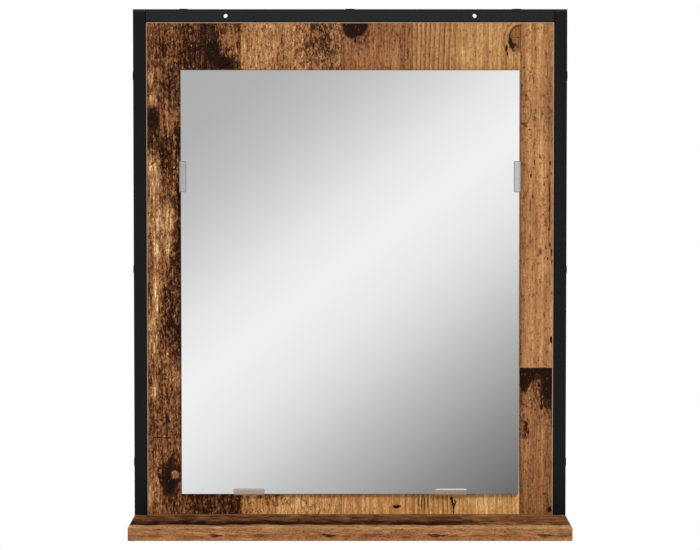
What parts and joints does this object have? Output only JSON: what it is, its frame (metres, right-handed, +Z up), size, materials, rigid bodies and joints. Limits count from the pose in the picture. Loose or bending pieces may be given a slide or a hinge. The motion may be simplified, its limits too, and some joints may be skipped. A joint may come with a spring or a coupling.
{
  "type": "mirror with shelf",
  "caption": "Rectangular wall mirror clipped to an old-wood board in a black square-tube frame, with a shallow shelf along its foot.",
  "frame": {"origin": "middle of the top rail's back face, midway between the two wall-screw holes, on the plane of the wall", "axes": "+Z up, +Y back towards the wall, so the mirror faces -Y; +X is the viewer's right"},
  "size_m": [0.5012, 0.125, 0.6006],
  "materials": {
    "black_powder_coat": "semi-gloss black powder coat, fine orange peel",
    "black_plastic": "matt moulded plastic",
    "old_wood_panel": "old planks printed on board, grain upright, satin",
    "old_wood_shelf": "old planks printed on board, grain along the shelf, satin",
    "old_wood_strip": "edge strip with the boards' print, worn pale at its corners",
    "mirror": "polished silvered glass",
    "mirror_back_paint": "matt grey protective paint",
    "satin_steel": "satin nickel plate",
    "black_screw": "black oxide",
    "zinc_steel": "bright zinc plate"
  },
  "bodies": {
    "root": {"upright_left": "black_powder_coat", "upright_right": "black_powder_coat", "top_rail": "black_powder_coat", "tube_cap_left": "black_plastic", "tube_cap_right": "black_plastic", "panel_board": "old_wood_panel", "shelf_board": "old_wood_shelf", "shelf_band_front": "old_wood_strip", "shelf_band_back": "old_wood_strip", "shelf_band_left": "old_wood_strip", "shelf_band_right": "old_wood_strip", "panel_band_left": "old_wood_strip", "panel_band_right": "old_wood_strip", "panel_band_top": "old_wood_strip", "panel_band_bottom": "old_wood_strip", "mirror_glass": "mirror", "mirror_silvering": "mirror_back_paint", "mirror_clip_left": "satin_steel", "mirror_clip_right": "satin_steel", "mirror_clip_bottom_left": "satin_steel", "mirror_clip_bottom_right": "satin_steel", "frame_screw_left_top": "black_screw", "frame_screw_left_middle": "black_screw", "frame_screw_left_bottom": "black_screw", "frame_screw_right_top": "black_screw", "frame_screw_right_middle": "black_screw", "frame_screw_right_bottom": "black_screw", "frame_screw_top_left": "black_screw", "frame_screw_top_middle": "black_screw", "frame_screw_top_right": "black_screw", "shelf_screw_left": "zinc_steel", "shelf_screw_middle": "zinc_steel", "shelf_screw_right": "zinc_steel", "foot_bolt_left": "zinc_steel", "foot_bolt_right": "zinc_steel", "foot_plug_left": "zinc_steel", "foot_plug_right": "zinc_steel", "clip_screw_left": "zinc_steel", "clip_screw_right": "zinc_steel", "clip_screw_bottom_left": "zinc_steel", "clip_screw_bottom_right": "zinc_steel"}
  },
  "joints": []
}
